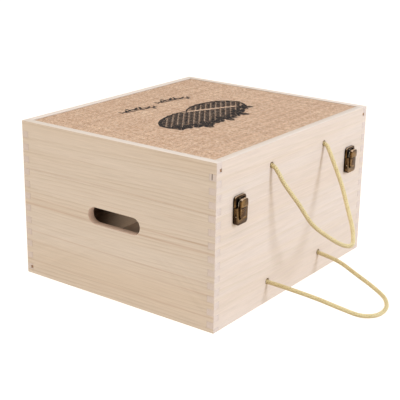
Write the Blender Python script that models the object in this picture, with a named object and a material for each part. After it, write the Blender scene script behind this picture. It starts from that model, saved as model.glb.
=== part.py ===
"""Six-bottle wooden shipping crate with a hinged lid, rope handles and toggle latches.

Metres, +Z up. The origin is on the ground under the middle of the box. The latches and ropes are
on the front (-Y), the hinges on the back (+Y) and the hand holes in the left (-X) and right boards.
"""

import math

import bmesh
import bpy
from mathutils import Matrix, Vector

# Box
WIDTH = 0.350           # along X
DEPTH = 0.300           # along Y
HEIGHT = 0.205
BOARD = 0.010           # thickness of every board
GAP = 0.0003            # between pieces that touch
SEAM_Z = HEIGHT - 0.06195

# Finger joints: the side boards hold the top corner, then fingers alternate down to the floor
FINGER = 0.0081
FIRST_FINGER = 0.01335

# Grooves for the panels, cut along the boards' inner faces
GROOVE_DEPTH = 0.004
GROOVE_CLEAR = 0.020    # how far the groove cutters reach into the open box
PANEL = 0.004
PANEL_SLACK = 0.0005
BOTTOM_PANEL_Z = 0.009
LID_PANEL_Z = HEIGHT - 0.010
COVER_RECESS = 0.0012

# Hand holes in the left and right boards
HAND_LENGTH = 0.082
HAND_HEIGHT = 0.022
HAND_Z = 0.1045

# Rails that hold the bottles
RAIL_X = 0.095
RAIL_THICKNESS = 0.009
RAIL_HEIGHT = 0.030
SEAT_BASE = 0.006       # wood left under each seat
BOTTLE_RADIUS = 0.042
BOTTLES = 3

# Rope handles: each rope lies on the bottom of its holes
ROPE = 0.0055
ROPE_HOLE = 0.0080
ROPE_HOLE_RISE = 0.0009
ROPE_X = 0.062
UPPER_ROPE_Z = 0.1762
LOWER_ROPE_Z = 0.0272
KNOT_RADIUS = 0.0075
KNOT_LENGTH = 0.012
ROPE_STEP = 0.0110
UPPER_ROUTE = [
    (-0.0620, -0.1397, 0.1762), (-0.0620, -0.1525, 0.1760), (-0.0612, -0.1598, 0.1680),
    (-0.0587, -0.1668, 0.1558), (-0.0512, -0.1836, 0.1316), (-0.0424, -0.1986, 0.1070),
    (-0.0272, -0.2156, 0.0890), (-0.0138, -0.2262, 0.0789), (0.0000, -0.2297, 0.0754),
    (0.0131, -0.2250, 0.0785), (0.0272, -0.2152, 0.0884), (0.0413, -0.1994, 0.1080),
    (0.0515, -0.1840, 0.1317), (0.0578, -0.1674, 0.1568), (0.0604, -0.1598, 0.1680),
    (0.0620, -0.1525, 0.1760), (0.0620, -0.1397, 0.1762)]
LOWER_ROUTE = [
    (-0.0620, -0.1397, 0.0272), (-0.0620, -0.1525, 0.0272), (-0.0600, -0.1841, 0.0250),
    (-0.0524, -0.2155, 0.0190), (-0.0442, -0.2424, 0.0115), (-0.0350, -0.2640, 0.0050),
    (-0.0222, -0.2768, 0.0033), (-0.0085, -0.2805, 0.0031), (0.0060, -0.2788, 0.0031),
    (0.0190, -0.2733, 0.0035), (0.0322, -0.2625, 0.0050), (0.0430, -0.2416, 0.0092),
    (0.0512, -0.2146, 0.0156), (0.0589, -0.1838, 0.0234), (0.0620, -0.1525, 0.0272),
    (0.0620, -0.1397, 0.0272)]

# Latches; "out" is the distance in front of the boards' face, towards -Y
LATCH_X = 0.1305
LATCH_WIDTH = 0.0225
LATCH_BOTTOM = 0.1236
LATCH_TOP = 0.158
LATCH_CORNER = 0.0045
PLATE_OUT = 0.0011
BASE_OUT = 0.0055
BASE_TOP = SEAM_Z + 0.0016
POCKET_HALF = 0.0062
POCKET_BOTTOM = 0.1297
WINDOW_TOP = 0.1379
BASE_NAIL_Z = 0.1412
BASE_NAIL_OFFSET = 0.0022

# Lever: the tongue lies between the base's rails, and the head is its thumb piece
PIVOT = (0.0044, 0.1344)        # (out, z) of the pin
PIN_RADIUS = 0.00065
PIN_BORE = 0.00095
TONGUE_HALF = 0.0057
TONGUE_BOTTOM = 0.1311
TONGUE_BACK = PIVOT[0] + PIN_BORE + 0.0001
TONGUE_THICKNESS = 0.0018
TONGUE_CORNER = 0.0025
TONGUE_OVERLAP = 0.0020         # how far the tongue runs up behind the head
LOBE_HALF = 0.0040
LOBE_SHOULDER = 0.0018          # above the pin, where the lobe leaves the tongue
LOBE_CROWN = (-0.0012, 0.0015)  # its highest corner, from the pin
LOBE_WALL = 0.00025             # metal round the bail's bore
LOBE_SIDE = 0.00065             # half the height of its flat back
HEAD_HALF = 0.0066
HEAD_BOTTOM = 0.1450
HEAD_TOP = 0.1548
HEAD_BACK = TONGUE_BACK + 0.0004
HEAD_THICKNESS = 0.0032
HEAD_CORNER = 0.0034

# Bail: a wire whose ends turn in the lever's lobe and whose top bar lies in front of the hook
BAIL_PIVOT = (0.0026, 0.1328)   # (out, z) of its ends
BAIL_RADIUS = 0.00055
BAIL_BORE = 0.00085
BAIL_HALF = 0.0050
BAIL_CORNER = 0.0016
BAIL_END = 0.0010               # length of each end inside the lobe
BAIL_TOP = (0.0039, 0.1510)

# Catch on the lid
CATCH_OUT = 0.0030
CATCH_BOTTOM = BASE_TOP + 0.0006
CATCH_RIM = 0.0026
CATCH_RIM_CORNER = 0.0030
HOOK_HALF = 0.0030
HOOK_BOTTOM = 0.1473
HOOK_THICKNESS = 0.0015
HOOK_LIP = 0.0030
CATCH_NAIL_Z = 0.1536
NAIL_HEAD = 0.0015
NAIL_HEIGHT = 0.0009

# Hinges on the back
HINGE_X = 0.100
HINGE_WIDTH = 0.038
LEAF_HEIGHT = 0.015
LEAF_THICKNESS = 0.0012
HINGE_AXIS_Y = DEPTH / 2 + 0.0034
BARREL_RADIUS = 0.0026
HINGE_PIN_RADIUS = 0.0010
HINGE_PIN_PROUD = 0.0010        # how much longer the pin is than the barrel
HINGE_BORE = 0.0013
SCREW_HEAD = 0.0026
SCREW_HEIGHT = 0.0008
SCREW_OFFSET = 0.012
SCREW_RISE = 0.0095
LEAF_NEAR = 0.0006

HALF_W = WIDTH / 2
HALF_D = DEPTH / 2
INNER_X = HALF_W - BOARD
INNER_Y = HALF_D - BOARD
FRONT_Y = -HALF_D
BACK_Y = HALF_D


# ---------------------------------------------------------------- scene and materials
for old in list(bpy.data.objects):
    bpy.data.objects.remove(old, do_unlink=True)

parts = bpy.data.collections.new("wooden_shipping_crate")
cutters = bpy.data.collections.new("cutters")
bpy.context.scene.collection.children.link(parts)
bpy.context.scene.collection.children.link(cutters)


def material(name, colour, roughness, metallic=0.0):
    mat = bpy.data.materials.new(name)
    mat.use_nodes = True
    shader = mat.node_tree.nodes["Principled BSDF"]
    shader.inputs["Base Color"].default_value = (*colour, 1.0)
    shader.inputs["Roughness"].default_value = roughness
    shader.inputs["Metallic"].default_value = metallic
    return mat


WOOD = material("pale_wood", (0.76, 0.62, 0.47), 0.62)
PLY = material("panel_wood", (0.70, 0.56, 0.41), 0.66)
BURLAP = material("burlap", (0.55, 0.36, 0.21), 0.92)
ROPE_MATERIAL = material("gold_rope", (0.74, 0.57, 0.28), 0.70)
BRONZE = material("antique_bronze", (0.16, 0.11, 0.06), 0.40, 1.0)
BRASS = material("aged_brass", (0.35, 0.24, 0.10), 0.35, 1.0)


# ---------------------------------------------------------------- building blocks
def add(name, mesh, mat, location=(0, 0, 0), collection=parts, smooth=False):
    """Put a mesh in the scene as a named object."""
    obj = bpy.data.objects.new(name, mesh)
    obj.location = location
    collection.objects.link(obj)
    if mat:
        mesh.materials.append(mat)
    if smooth:
        mesh.shade_smooth()
        mesh.set_sharp_from_angle(angle=math.radians(35))
    return obj


def guide(obj):
    """Mark an object as a cutter, which is no part of the crate."""
    obj.hide_render = True
    obj.display_type = "WIRE"
    return obj


def box_mesh(name, boxes, centre=(0, 0, 0)):
    """One mesh of closed boxes, each given by its low and high corners, seen from centre."""
    bm = bmesh.new()
    for low, high in boxes:
        low, high = Vector(low), Vector(high)
        place = Matrix.Translation((low + high) / 2 - Vector(centre))
        size = Matrix.Diagonal((*(high - low), 1.0))
        bmesh.ops.create_cube(bm, size=1.0, matrix=place @ size)
    mesh = bpy.data.meshes.new(name)
    bm.to_mesh(mesh)
    bm.free()
    return mesh


def box(name, low, high, mat):
    centre = (Vector(low) + Vector(high)) / 2
    return add(name, box_mesh(name, [(low, high)], centre), mat, centre)


def box_cutter(name, boxes):
    return guide(add(name, box_mesh(name, boxes), None, collection=cutters))


def rod_mesh(name, radius, length, axis, segments=20):
    """A cylinder centred on its own origin, along the given axis."""
    bm = bmesh.new()
    turn = Vector((0, 0, 1)).rotation_difference(Vector(axis)).to_matrix().to_4x4()
    bmesh.ops.create_cone(bm, cap_ends=True, segments=segments, radius1=radius, radius2=radius,
                          depth=length, matrix=turn)
    mesh = bpy.data.meshes.new(name)
    bm.to_mesh(mesh)
    bm.free()
    return mesh


def rod(name, centre, radius, length, axis, mat, segments=20):
    return add(name, rod_mesh(name, radius, length, axis, segments), mat, centre, smooth=True)


def rod_cutter(name, centre, radius, length, axis, segments=20):
    return guide(add(name, rod_mesh(name, radius, length, axis, segments), None, centre, cutters))


def cut(target, cutter, operation="DIFFERENCE"):
    mod = target.modifiers.new(cutter.name, "BOOLEAN")
    mod.operation = operation
    mod.solver = "EXACT"
    mod.object = cutter
    return target


def rounded_outline(half, bottom, top, radius, round_bottom, round_top, steps=5):
    """Points of a plate, wide 2*half, whose chosen pair of corners is rounded."""
    points = []
    corners = [(-1, -1, 180, round_bottom), (1, -1, 270, round_bottom),
               (1, 1, 0, round_top), (-1, 1, 90, round_top)]
    for side, end, start, rounded in corners:
        z = bottom if end < 0 else top
        if not rounded:
            points.append((side * half, z))
            continue
        centre = (side * (half - radius), z - end * radius)
        for i in range(steps + 1):
            angle = math.radians(start + 90 * i / steps)
            points.append((centre[0] + radius * math.cos(angle), centre[1] + radius * math.sin(angle)))
    return points


def outline_mesh(name, points, thickness):
    """A flat outline in its curve's XY plane, extruded along Z and welded into one mesh."""
    curve = bpy.data.curves.new(name + "_outline", "CURVE")
    curve.dimensions = "2D"
    curve.fill_mode = "BOTH"
    curve.extrude = thickness / 2
    spline = curve.splines.new("POLY")
    spline.points.add(len(points) - 1)
    for point, (x, y) in zip(spline.points, points):
        point.co = (x, y, 0, 1)
    spline.use_cyclic_u = True
    return curve_to_mesh(name, curve)


def curve_to_mesh(name, curve):
    holder = bpy.data.objects.new(name + "_curve", curve)
    bpy.context.scene.collection.objects.link(holder)
    graph = bpy.context.evaluated_depsgraph_get()
    mesh = bpy.data.meshes.new_from_object(holder.evaluated_get(graph))
    bpy.data.objects.remove(holder)
    bpy.data.curves.remove(curve)
    bm = bmesh.new()
    bm.from_mesh(mesh)
    bmesh.ops.remove_doubles(bm, verts=bm.verts, dist=0.00001)
    bmesh.ops.recalc_face_normals(bm, faces=bm.faces)
    if bm.calc_volume(signed=True) < 0:
        bmesh.ops.reverse_faces(bm, faces=bm.faces)
    bm.to_mesh(mesh)
    bm.free()
    mesh.name = name
    return mesh


# An outline's (x, y) lies in the world's (x, z) plane, facing the front
FACING_FRONT = Matrix(((1, 0, 0), (0, 0, -1), (0, 1, 0))).to_4x4()
# An outline's (x, y) lies in the world's (-y, z) plane: x is "out" and the thickness is along X
FACING_SIDE = Matrix(((0, 0, -1), (-1, 0, 0), (0, 1, 0))).to_4x4()


def plate(name, points, out_low, out_high, x, mat, pivot=(0.0, 0.0), collection=parts):
    """An outline in (x, z) about the latch's middle, thick from out_low to out_high."""
    mesh = outline_mesh(name, points, out_high - out_low)
    mesh.transform(FACING_FRONT)
    mesh.transform(Matrix.Translation((0, pivot[0] - (out_low + out_high) / 2, -pivot[1])))
    return add(name, mesh, mat, (x, FRONT_Y - pivot[0], pivot[1]), collection)


# ---------------------------------------------------------------- boards
def finger_bands():
    """Heights (low, high) at which the front and back boards' fingers reach the corners."""
    bands = []
    top = HEIGHT - FIRST_FINGER
    while top - FINGER > 0:
        bands.append((top - FINGER, top))
        top -= 2 * FINGER
    return bands


def side_bands():
    """Heights at which the left and right boards' fingers reach the corners."""
    edges = [HEIGHT + BOARD]
    for low, high in finger_bands():
        edges += [high, low]
    edges.append(-BOARD)
    return list(zip(edges[1::2], edges[0::2]))


def notch_boxes(axis, bands):
    """Boxes that cut the given bands from both ends of a board that runs along an axis."""
    half, across = (HALF_W, HALF_D) if axis == 0 else (HALF_D, HALF_W)
    boxes = []
    for low, high in bands:
        for side in (-1, 1):
            ends = sorted((side * (half - BOARD - GAP), side * (half + BOARD)))
            low_corner = [-across - BOARD, -across - BOARD, low - GAP / 2]
            high_corner = [across + BOARD, across + BOARD, high + GAP / 2]
            low_corner[axis], high_corner[axis] = ends
            boxes.append((low_corner, high_corner))
    return boxes


front_notches = box_cutter("front_notches", notch_boxes(0, side_bands()))
side_notches = box_cutter("side_notches", notch_boxes(1, finger_bands()))


def grooves(prefix, z, front_reach):
    """A cutter for each board's panel groove, out through its ends but for the front one's reach."""
    low, high = z - PANEL / 2 - GAP / 2, z + PANEL / 2 + GAP / 2
    deep_x, deep_y = INNER_X + GROOVE_DEPTH, INNER_Y + GROOVE_DEPTH
    open_x, open_y = deep_x - GROOVE_CLEAR, deep_y - GROOVE_CLEAR
    long_x, long_y = HALF_W + BOARD, HALF_D + BOARD
    corners = {
        "front": ((-front_reach, -deep_y, low), (front_reach, -open_y, high)),
        "back": ((-long_x, open_y, low), (long_x, deep_y, high)),
        "left": ((-deep_x, -long_y, low), (-open_x, long_y, high)),
        "right": ((open_x, -long_y, low), (deep_x, long_y, high))}
    return {side: box_cutter(f"{prefix}_{side}_groove", [pair]) for side, pair in corners.items()}


def four_boards(prefix, low, high, panel_grooves):
    """The front, back, left and right boards of the body or the lid."""
    made = {}
    for side, name in ((-1, "front"), (1, "back")):
        y_low, y_high = sorted((side * INNER_Y, side * HALF_D))
        board = box(f"{prefix}_{name}_board", (-HALF_W, y_low, low), (HALF_W, y_high, high), WOOD)
        made[name] = cut(board, front_notches)
    for side, name in ((-1, "left"), (1, "right")):
        x_low, x_high = sorted((side * INNER_X, side * HALF_W))
        board = box(f"{prefix}_{name}_board", (x_low, -HALF_D, low), (x_high, HALF_D, high), WOOD)
        made[name] = cut(board, side_notches)
    for name, board in made.items():
        cut(board, panel_grooves[name])
    return made


def body():
    stopped = grooves("body", BOTTOM_PANEL_Z, INNER_X + GROOVE_DEPTH)
    boards = four_boards("body", 0, SEAM_Z - GAP / 2, stopped)
    straight = HAND_LENGTH / 2 - HAND_HEIGHT / 2
    points = []
    for side, start in ((1, -90), (-1, 90)):
        for i in range(13):
            angle = math.radians(start + 180 * i / 12)
            points.append((side * straight + HAND_HEIGHT / 2 * math.cos(angle),
                           HAND_HEIGHT / 2 * math.sin(angle)))
    mesh = outline_mesh("hand_holes", points, 2 * WIDTH)
    mesh.transform(FACING_SIDE)
    hand_holes = guide(add("hand_holes", mesh, None, (0, 0, HAND_Z), cutters))
    cut(boards["left"], hand_holes)
    cut(boards["right"], hand_holes)
    rope_holes(boards["front"], LOWER_ROPE_Z)
    reach_x, reach_y = INNER_X + GROOVE_DEPTH - PANEL_SLACK, INNER_Y + GROOVE_DEPTH - PANEL_SLACK
    box("bottom_panel", (-reach_x, -reach_y, BOTTOM_PANEL_Z - PANEL / 2),
        (reach_x, reach_y, BOTTOM_PANEL_Z + PANEL / 2), PLY)


def lid():
    through = grooves("lid", LID_PANEL_Z, HALF_W + BOARD)
    boards = four_boards("lid", SEAM_Z + GAP / 2, HEIGHT, through)
    rope_holes(boards["front"], UPPER_ROPE_Z)
    reach_x, reach_y = INNER_X + GROOVE_DEPTH - PANEL_SLACK, INNER_Y + GROOVE_DEPTH - PANEL_SLACK
    panel_top = LID_PANEL_Z + PANEL / 2
    box("lid_panel", (-reach_x, -reach_y, LID_PANEL_Z - PANEL / 2), (reach_x, reach_y, panel_top), PLY)
    box("burlap_cover", (-INNER_X + GAP, -INNER_Y + GAP, panel_top + GAP),
        (INNER_X - GAP, INNER_Y - GAP, HEIGHT - COVER_RECESS), BURLAP)


def rope_holes(board, z):
    for side in (-1, 1):
        hole = rod_cutter(f"rope_hole_{board.name}_{side}", (side * ROPE_X, FRONT_Y, z + ROPE_HOLE_RISE),
                          ROPE_HOLE / 2, 4 * BOARD, (0, 1, 0), 24)
        cut(board, hole)


def cradle_rails():
    """Rails across the bottom with a round seat for each bottle."""
    bottom = BOTTOM_PANEL_Z + PANEL / 2 + GAP
    pitch = 2 * INNER_Y / BOTTLES
    seat_z = bottom + SEAT_BASE + BOTTLE_RADIUS
    for side, name in ((-1, "left_cradle_rail"), (1, "right_cradle_rail")):
        x = side * RAIL_X
        rail = box(name, (x - RAIL_THICKNESS / 2, -INNER_Y + GAP, bottom),
                   (x + RAIL_THICKNESS / 2, INNER_Y - GAP, bottom + RAIL_HEIGHT), PLY)
        for i in range(BOTTLES):
            y = (i - (BOTTLES - 1) / 2) * pitch
            seat = rod_cutter(f"{name}_seat_{i}", (x, y, seat_z), BOTTLE_RADIUS, 3 * RAIL_THICKNESS,
                              (1, 0, 0), 48)
            cut(rail, seat)


# ---------------------------------------------------------------- ropes
def smooth_route(points, step):
    """Even steps along a Catmull-Rom curve through the points."""
    knots = [Vector(p) for p in points]
    knots = [2 * knots[0] - knots[1]] + knots + [2 * knots[-1] - knots[-2]]
    dense = []
    for a, b, c, d in zip(knots, knots[1:], knots[2:], knots[3:]):
        for i in range(40):
            t = i / 40
            dense.append(0.5 * (2 * b + (c - a) * t + (2 * a - 5 * b + 4 * c - d) * t ** 2
                                + (3 * b - a - 3 * c + d) * t ** 3))
    dense.append(knots[-2])
    lengths = [0.0]
    for p, q in zip(dense, dense[1:]):
        lengths.append(lengths[-1] + (q - p).length)
    count = round(lengths[-1] / step)
    even = []
    for i in range(count + 1):
        goal = lengths[-1] * i / count
        k = next(j for j, v in enumerate(lengths) if v >= goal - 1e-9)
        even.append(dense[k])
    return even


def wire(name, points, radius, resolution, mat):
    """A round wire or rope through the points, with flat ends."""
    curve = bpy.data.curves.new(name, "CURVE")
    curve.dimensions = "3D"
    curve.bevel_depth = radius
    curve.bevel_resolution = resolution
    curve.use_fill_caps = True
    spline = curve.splines.new("POLY")
    spline.points.add(len(points) - 1)
    for point, co in zip(spline.points, points):
        point.co = (*co, 1)
    curve.materials.append(mat)
    obj = bpy.data.objects.new(name, curve)
    parts.objects.link(obj)
    return obj


def rope(name, route):
    """A loop of rope from one hole to the other."""
    wire(name, smooth_route(route, ROPE_STEP), ROPE / 2, 2, ROPE_MATERIAL)


def knots(prefix, z):
    """A stopper knot behind each rope hole, with the rope's end inside the board."""
    for side, name in ((-1, "left"), (1, "right")):
        bm = bmesh.new()
        bmesh.ops.create_uvsphere(bm, u_segments=14, v_segments=9, radius=1.0,
                                  matrix=Matrix.Diagonal((KNOT_RADIUS, KNOT_LENGTH / 2, KNOT_RADIUS, 1)))
        mesh = bpy.data.meshes.new(f"{prefix}_knot_{name}")
        bm.to_mesh(mesh)
        bm.free()
        y = -INNER_Y + 2 * GAP + KNOT_LENGTH / 2
        add(f"{prefix}_knot_{name}", mesh, ROPE_MATERIAL, (side * ROPE_X, y, z), smooth=True)


# ---------------------------------------------------------------- latches
def latch_base(side, x):
    """A plate with a raised rail down each side, joined by a rounded block at the bottom."""
    name = f"{side}_latch_base"
    outline = rounded_outline(LATCH_WIDTH / 2, LATCH_BOTTOM, BASE_TOP, LATCH_CORNER, True, False)
    base = plate(name, outline, GAP, BASE_OUT, x, BRONZE)
    pocket = box_cutter(name + "_pocket", [
        ((x - POCKET_HALF, FRONT_Y - 2 * BASE_OUT, POCKET_BOTTOM),
         (x + POCKET_HALF, FRONT_Y - PLATE_OUT, LATCH_TOP))])
    window = box_cutter(name + "_window", [
        ((x - POCKET_HALF + GAP, FRONT_Y - 2 * PLATE_OUT, POCKET_BOTTOM + GAP),
         (x + POCKET_HALF - GAP, FRONT_Y + PLATE_OUT, WINDOW_TOP))])
    pin_centre = (x, FRONT_Y - PIVOT[0], PIVOT[1])
    bore = rod_cutter(name + "_bore", pin_centre, PIN_BORE, 2 * LATCH_WIDTH, (1, 0, 0), 16)
    for cutter in (pocket, window, bore):
        cut(base, cutter)
    rod(f"{side}_latch_pin", pin_centre, PIN_RADIUS, LATCH_WIDTH - 2 * GAP, (1, 0, 0), BRASS, 12)


def lobe_outline():
    """Side outline (out, z) of the lobe behind the tongue, round the pin and the bail's ends."""
    pin_out, pin_z = PIVOT
    bail_out, bail_z = BAIL_PIVOT
    tongue = HEAD_BACK - GAP / 2
    back, bottom = bail_out - BAIL_BORE - LOBE_WALL, bail_z - BAIL_BORE - LOBE_WALL
    return [(tongue, HEAD_BOTTOM), (tongue, pin_z + LOBE_SHOULDER),
            (pin_out + LOBE_CROWN[0], pin_z + LOBE_CROWN[1]), (back, bail_z + LOBE_SIDE),
            (back, bail_z - LOBE_SIDE), (bail_out, bottom - LOBE_WALL), (tongue, TONGUE_BOTTOM + GAP)]


def latch_lever(side, x):
    """A tongue between the rails, a lobe round the pin and a wide thumb piece on top."""
    name = f"{side}_latch_lever"
    tongue = rounded_outline(TONGUE_HALF, TONGUE_BOTTOM, HEAD_BOTTOM + TONGUE_OVERLAP, TONGUE_CORNER,
                             True, False)
    lever = plate(name, tongue, TONGUE_BACK, TONGUE_BACK + TONGUE_THICKNESS, x, BRONZE, PIVOT)
    head = rounded_outline(HEAD_HALF, HEAD_BOTTOM, HEAD_TOP, HEAD_CORNER, False, True)
    head_piece = guide(plate(name + "_head", head, HEAD_BACK, HEAD_BACK + HEAD_THICKNESS, x, None, PIVOT,
                             cutters))
    lobe_mesh = outline_mesh(name + "_lobe", lobe_outline(), 2 * LOBE_HALF)
    lobe_mesh.transform(FACING_SIDE)
    lobe_mesh.transform(Matrix.Translation((0, PIVOT[0], -PIVOT[1])))
    lobe = guide(add(name + "_lobe", lobe_mesh, None, (x, FRONT_Y - PIVOT[0], PIVOT[1]), cutters))
    cut(lever, lobe, "UNION")
    cut(lever, head_piece, "UNION")
    for label, (out, z), radius in (("pin", PIVOT, PIN_BORE), ("bail", BAIL_PIVOT, BAIL_BORE)):
        cut(lever, rod_cutter(f"{name}_{label}_bore", (x, FRONT_Y - out, z), radius, 2 * LATCH_WIDTH,
                              (1, 0, 0), 16))


def latch_bail(side, x):
    """A bent wire, made as its left half and the mirror of it."""
    low = Vector((-BAIL_HALF, -BAIL_PIVOT[0], BAIL_PIVOT[1]))
    top = Vector((-BAIL_HALF, -BAIL_TOP[0], BAIL_TOP[1]))
    up = (top - low).normalized()
    half = [low + Vector((BAIL_HALF - LOBE_HALF + BAIL_END, 0, 0))]
    for corner, along in ((low, up), (top, -up)):
        turns = [math.pi / 2 * i / 4 for i in range(5)]
        if corner == top:
            turns.reverse()
        for turn in turns:
            inward = Vector((BAIL_CORNER * (1 - math.sin(turn)), 0, 0))
            half.append(corner + inward + along * BAIL_CORNER * (1 - math.cos(turn)))
    points = half + [Vector((-p.x, p.y, p.z)) for p in reversed(half)]
    origin = Vector((0, -BAIL_PIVOT[0], BAIL_PIVOT[1]))
    obj = wire(f"{side}_latch_bail", [p - origin for p in points], BAIL_RADIUS, 1, BRASS)
    obj.location = origin + Vector((x, FRONT_Y, 0))


def latch_catch(side, x):
    """A round-topped plate with a raised rim and a hook for the bail."""
    name = f"{side}_latch_catch"
    outline = rounded_outline(LATCH_WIDTH / 2, CATCH_BOTTOM, LATCH_TOP, LATCH_CORNER, False, True)
    catch = plate(name, outline, GAP, CATCH_OUT, x, BRONZE)
    inside = rounded_outline(LATCH_WIDTH / 2 - CATCH_RIM, CATCH_BOTTOM - BOARD, LATCH_TOP - CATCH_RIM,
                             CATCH_RIM_CORNER, False, True)
    recess = guide(plate(name + "_recess", inside, PLATE_OUT, 2 * CATCH_OUT, x, None,
                         collection=cutters))
    front = FRONT_Y - CATCH_OUT + GAP / 2
    hook = box_cutter(name + "_hook", [
        ((x - HOOK_HALF, front, HOOK_BOTTOM),
         (x + HOOK_HALF, FRONT_Y - 2 * GAP, HOOK_BOTTOM + HOOK_THICKNESS))])
    lip = box_cutter(name + "_lip", [
        ((x - HOOK_HALF + GAP, front + GAP / 2, HOOK_BOTTOM + GAP),
         (x + HOOK_HALF - GAP, front + 3 * GAP, HOOK_BOTTOM + HOOK_LIP))])
    cut(catch, recess)
    cut(catch, hook, "UNION")
    cut(catch, lip, "UNION")


def round_head(name, place, radius, top_radius, height, towards):
    """The head of a nail or screw, wide where it meets the metal."""
    bm = bmesh.new()
    turn = Vector((0, 0, 1)).rotation_difference(Vector(towards)).to_matrix().to_4x4()
    bmesh.ops.create_cone(bm, cap_ends=True, segments=14, radius1=radius, radius2=top_radius,
                          depth=height, matrix=turn)
    mesh = bpy.data.meshes.new(name)
    bm.to_mesh(mesh)
    bm.free()
    add(name, mesh, BRASS, Vector(place) + Vector(towards) * height / 2, smooth=True)


def nail(name, x, z):
    round_head(name, (x, FRONT_Y - PLATE_OUT - GAP, z), NAIL_HEAD, NAIL_HEAD / 2, NAIL_HEIGHT, (0, -1, 0))


def latches():
    for side, x in (("left", -LATCH_X), ("right", LATCH_X)):
        latch_base(side, x)
        latch_lever(side, x)
        latch_bail(side, x)
        latch_catch(side, x)
        nail(f"{side}_latch_base_nail_1", x - BASE_NAIL_OFFSET, BASE_NAIL_Z)
        nail(f"{side}_latch_base_nail_2", x + BASE_NAIL_OFFSET, BASE_NAIL_Z)
        nail(f"{side}_latch_catch_nail", x, CATCH_NAIL_Z)


# ---------------------------------------------------------------- hinges
def hinge_leaf(name, x, up, knuckles):
    """A leaf on the back face, going up or down from the axis, with its share of the barrel."""
    plate_y = BACK_Y + GAP
    low, high = sorted((SEAM_Z + up * LEAF_NEAR, SEAM_Z + up * LEAF_HEIGHT))
    leaf = box(name, (x - HINGE_WIDTH / 2, plate_y, low),
               (x + HINGE_WIDTH / 2, plate_y + LEAF_THICKNESS, high), BRONZE)
    third = HINGE_WIDTH / 3
    for k in knuckles:
        knuckle = rod_cutter(f"{name}_knuckle_{k}", (x + k * third, HINGE_AXIS_Y, SEAM_Z), BARREL_RADIUS,
                             third - GAP, (1, 0, 0), 20)
        cut(leaf, knuckle, "UNION")
    reach = BARREL_RADIUS + LEAF_NEAR
    notches = [((x + (k - 0.5) * third - GAP * (k > -1), plate_y - BOARD, SEAM_Z - reach),
                (x + (k + 0.5) * third + GAP * (k < 1), HINGE_AXIS_Y + BOARD, SEAM_Z + reach))
               for k in (-1, 0, 1) if k not in knuckles]
    cut(leaf, box_cutter(name + "_notches", notches))
    cut(leaf, rod_cutter(name + "_bore", (x, HINGE_AXIS_Y, SEAM_Z), HINGE_BORE, 2 * HINGE_WIDTH,
                         (1, 0, 0), 16))


def hinges():
    for side, x in (("left", -HINGE_X), ("right", HINGE_X)):
        hinge_leaf(f"{side}_hinge_body_leaf", x, -1, (-1, 1))
        hinge_leaf(f"{side}_hinge_lid_leaf", x, 1, (0,))
        rod(f"{side}_hinge_pin", (x, HINGE_AXIS_Y, SEAM_Z), HINGE_PIN_RADIUS, HINGE_WIDTH + HINGE_PIN_PROUD,
            (1, 0, 0), BRASS, 12)
        for owner, up in (("body", -1), ("lid", 1)):
            for number, offset in ((1, -SCREW_OFFSET), (2, SCREW_OFFSET)):
                place = (x + offset, BACK_Y + 2 * GAP + LEAF_THICKNESS, SEAM_Z + up * SCREW_RISE)
                round_head(f"{side}_hinge_{owner}_screw_{number}", place, SCREW_HEAD, SCREW_HEAD * 0.6,
                           SCREW_HEIGHT, (0, 1, 0))


body()
cradle_rails()
lid()
rope("upper_rope", UPPER_ROUTE)
rope("lower_rope", LOWER_ROUTE)
knots("upper", UPPER_ROPE_Z)
knots("lower", LOWER_ROPE_Z)
latches()
hinges()
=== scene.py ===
"""Looks of the six-bottle wooden crate: eased boards, woven cover, braided ropes and bronze latches."""
from math import atan2, cos, pi, radians, sin, sqrt

import bmesh
import bpy
from mathutils import Matrix, Vector, noise


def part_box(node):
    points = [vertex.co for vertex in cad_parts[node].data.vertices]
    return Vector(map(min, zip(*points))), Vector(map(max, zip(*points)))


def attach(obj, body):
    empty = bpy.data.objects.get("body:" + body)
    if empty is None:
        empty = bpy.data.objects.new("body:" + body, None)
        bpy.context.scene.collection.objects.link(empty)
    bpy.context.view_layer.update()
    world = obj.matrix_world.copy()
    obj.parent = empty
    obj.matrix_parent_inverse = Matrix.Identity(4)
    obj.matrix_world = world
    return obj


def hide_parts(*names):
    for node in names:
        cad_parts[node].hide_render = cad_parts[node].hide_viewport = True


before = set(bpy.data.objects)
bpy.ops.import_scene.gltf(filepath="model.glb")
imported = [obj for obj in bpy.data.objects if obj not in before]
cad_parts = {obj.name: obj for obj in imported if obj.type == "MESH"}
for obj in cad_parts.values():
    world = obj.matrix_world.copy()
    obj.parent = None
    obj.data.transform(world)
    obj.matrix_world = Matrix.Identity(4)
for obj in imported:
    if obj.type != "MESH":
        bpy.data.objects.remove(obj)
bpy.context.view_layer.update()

# -------- sizes, in metres
BOX_LOW = Vector((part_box("body_left_board")[0].x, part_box("body_front_board")[0].y, 0))
BOX_HIGH = Vector((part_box("body_right_board")[1].x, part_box("body_back_board")[1].y,
                   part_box("lid_front_board")[1].z))
SEAM_Z = (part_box("body_front_board")[1].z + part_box("lid_front_board")[0].z) / 2

BOARD = 0.010
UNDER_LID_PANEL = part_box("lid_panel")[0].z
HAND_HOLE_LENGTH = 0.082
HAND_HOLE_HEIGHT = 0.022
HAND_HOLE_Z = 0.1045
LEVER_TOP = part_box("left_latch_lever")[1].z

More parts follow.
